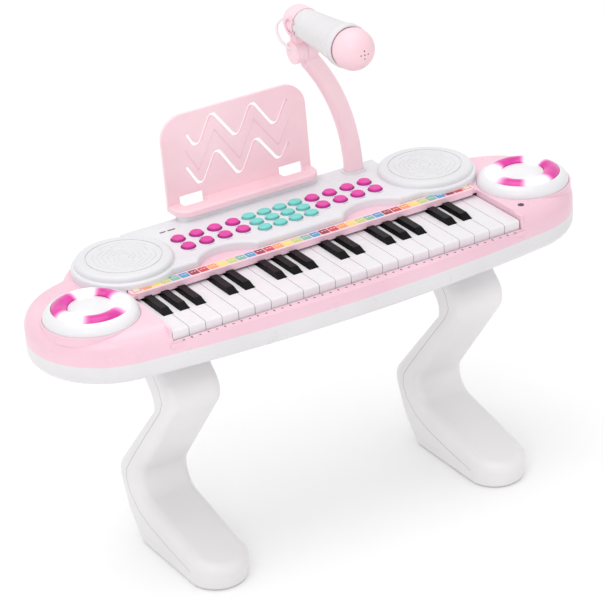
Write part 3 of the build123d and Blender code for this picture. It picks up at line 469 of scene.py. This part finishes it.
# ---------------------------------------------------------------- raised pieces
def add_stand_zigzag():
    """Raised zigzag on the plate of the music stand, between its two slots. Its points are across
    and up the plate from the middle of the plate's foot."""
    points = [(-66, 54), (-53, 30), (-31, 68), (-5, 30), (15, 67), (41, 32), (56, 56)]
    plate_foot = Vector((0, 106, 314.5))
    plate_lean = radians(3.0)
    half_width, top_share = 0.8, 0.65
    sink, rise = 0.1, 0.5
    rib = bmesh.new()
    for (x0, y0), (x1, y1) in zip(points, points[1:]):
        along = Vector((x1 - x0, y1 - y0, 0)).normalized()
        side = Vector((-along.y, along.x, 0)) * half_width
        ends = ((x0, y0, 1), (x1, y1, 1), (x1, y1, -1), (x0, y0, -1))
        foot = [Vector((x, y, -sink)) + side * sign for x, y, sign in ends]
        top = [Vector((x, y, rise)) + side * sign * top_share for x, y, sign in ends]
        bar(rib, foot, top)
    stood_up = Matrix.Rotation(pi / 2 - plate_lean, 4, "X")
    matrix = Matrix.Translation(plate_foot * MM) @ stood_up
    bmesh.ops.transform(rib, matrix=matrix, verts=rib.verts[:])
    mesh_piece("stand_zigzag", rib, [pink_stand], body="music_stand")


def wave_arc(shape, centre, radius, start, sweep):
    """Part of a wavy raised ring round a centre, from the angle start on, in degrees."""
    width, height, sink = 0.9, 0.45, 0.1
    ripple, ripple_count = 0.8, 8
    steps = max(8, int(sweep / 6))
    rows = []
    for i in range(steps + 1):
        angle = radians(start + sweep * i / steps)
        reach = radius + ripple * sin(ripple_count * angle)
        way = Vector((cos(angle), sin(angle), 0))
        row = []
        for across, up in ((-1, -sink), (-0.5, height), (0.5, height), (1, -sink)):
            spot = Vector((centre[0], centre[1], centre[2] + up)) + way * (reach + across * width)
            row.append(shape.verts.new(spot * MM))
        rows.append(row)
    for a, b in zip(rows, rows[1:]):
        for j in range(4):
            k = (j + 1) % 4
            shape.faces.new((a[j], b[j], b[k], a[k]))
    shape.faces.new(rows[0])
    shape.faces.new(list(reversed(rows[-1])))


def add_pod_waves():
    """Broken wavy rings on both loudspeaker pods, each turned a little from the one inside it."""
    low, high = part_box("speaker_grilles")
    pod_radius = (high.y - low.y) / 2 / MM
    y = (high.y + low.y) / 2 / MM
    z = high.z / MM - 0.05
    turn_per_ring = 24
    waves = bmesh.new()
    for side in (-1, 1):
        x = side * (high.x / MM - pod_radius)
        for number, radius in enumerate(range(6, 32, 5)):
            for start in (20, 140, 260):
                wave_arc(waves, (x, y, z), radius, start + turn_per_ring * number, sweep=96)
    mesh_piece("pod_waves", waves, [pod_white])


def add_mic_loop():
    """A pink loop moulded on the side of the microphone's cup."""
    x, y, z = 65 - 16.6, 81, 481
    reach_y, reach_z = 7.5, 8.5
    half_thick, half_wide = 1.3, 1.1
    sweep, steps, sides = 300, 32, 8
    loop = bmesh.new()
    rings = []
    for i in range(steps + 1):
        angle = radians(-sweep / 2 + i * sweep / steps)
        centre = Vector((x, y + reach_y * cos(angle), z + reach_z * sin(angle)))
        outward = Vector((0, cos(angle), sin(angle)))
        ring = []
        for j in range(sides):
            turn = 2 * pi * j / sides
            inward = Vector((-cos(turn), 0, 0)) * half_thick
            ring.append(loop.verts.new((centre + inward + outward * sin(turn) * half_wide) * MM))
        rings.append(ring)
    for a, b in zip(rings, rings[1:]):
        for j in range(sides):
            k = (j + 1) % sides
            loop.faces.new((a[j], a[k], b[k], b[j]))
    loop.faces.new(list(reversed(rings[0])))
    loop.faces.new(rings[-1])
    mesh_piece("mic_loop", loop, [pink], body="microphone", smooth=True)


def add_leg_seams():
    """A fine seam down both sides of each leg, following its bends as points in y and z, coloured
    darker as a painted shadow.
    """
    points = [(-10, 255), (-12, 243), (-32, 222), (-47, 203), (-51, 190), (-45, 178), (-8, 136),
              (30, 92), (42, 76), (44, 64), (38, 50), (22, 36), (0, 28), (-40, 20), (-80, 14)]
    half_width = 0.35
    sink, rise = 0.1, 0.08
    seams = bmesh.new()
    for leg in ("left_leg", "right_leg"):
        low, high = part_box(leg)
        for face_x, out in ((low.x / MM, -1), (high.x / MM, 1)):
            for (y0, z0), (y1, z1) in zip(points, points[1:]):
                along = Vector((0, y1 - y0, z1 - z0)).normalized()
                side = Vector((0, -along.z, along.y)) * half_width
                ends = ((y0, z0, 1), (y1, z1, 1), (y1, z1, -1), (y0, z0, -1))
                foot_x = face_x - out * sink
                top_x = face_x + out * rise
                foot = [Vector((foot_x, y, z)) + side * sign for y, z, sign in ends]
                top = [Vector((top_x, y, z)) + side * sign for y, z, sign in ends]
                bar(seams, foot, top)
    # the seams' darker grey is painted shadow
    mesh_piece("leg_seams", seams, [ink("seam_shadow", "b4b4ba")])


add_note_labels()
add_lip_ticks()
add_button_rims()
add_power_lamp()
add_panel_mark()
add_stand_zigzag()
add_pod_waves()
add_mic_loop()
add_leg_seams()

# ---------------------------------------------------------------- lead
# from the microphone's cup to the knuckle, through the same points as the CAD tube
lead_radius = 1.5
lead_points = [(60, 98, 486), (50, 108, 480), (47, 107, 468), (49, 99, 457), (57, 92, 450)]
lead_data = bpy.data.curves.new("mic_lead", "CURVE")
lead_data.dimensions = "3D"
lead_line = lead_data.splines.new("NURBS")
lead_line.points.add(len(lead_points) - 1)
for point, place in zip(lead_line.points, lead_points):
    point.co = [c * MM for c in place] + [1]
lead_line.order_u = 3
lead_line.use_endpoint_u = True
lead_data.resolution_u = 16
lead_data.bevel_depth = lead_radius * MM
lead_data.bevel_resolution = 6
lead_data.use_fill_caps = True
lead_data.materials.append(lead_rubber)
lead = linked("mic_lead", lead_data)
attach(lead, "microphone")
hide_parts("mic_cord")


# ---------------------------------------------------------------- floor and lights
def add_floor():
    """A wide sheet of white paper, just below the feet."""
    shape = bmesh.new()
    bmesh.ops.create_grid(shape, x_segments=8, y_segments=8, size=12)
    data = bpy.data.meshes.new("floor")
    shape.to_mesh(data)
    shape.free()
    g = Graph("floor_paper")
    tone = g.spread(g.noise(scale=3, detail=3), 0, 1)
    g.put(g.shader, "Base Color", g.mix(tone, srgb("fdfdfd"), srgb("ffffff")))
    g.put(g.shader, "Roughness", 0.7)
    data.materials.append(g.material)
    floor = linked("floor", data)
    floor.location.z = -0.0005


def add_area(name, place, target, size, power):
    """A round soft light, aimed at a target."""
    data = bpy.data.lights.new(name, "AREA")
    data.shape = "DISK"
    data.size = size
    data.energy = power
    light = linked(name, data)
    light.location = place
    aim = Vector(target) - Vector(place)
    light.rotation_euler = aim.to_track_quat("-Z", "Y").to_euler()


def add_world(strength):
    """Even white light from all round."""
    world = bpy.data.worlds.new("studio")
    world.use_nodes = True
    background = world.node_tree.nodes["Background"]
    background.inputs["Color"].default_value = (1, 1, 1, 1)
    background.inputs["Strength"].default_value = strength
    bpy.context.scene.world = world


add_floor()
add_world(strength=0.84)
add_area("overhead", place=(-0.3, 0.2, 2.6), target=(0, 0, 0.2), size=2.6, power=20)
add_area("key", place=(-1.6, -1.8, 2.0), target=(0, 0, 0.25), size=1.8, power=14)
bpy.context.scene.view_settings.view_transform = "Standard"
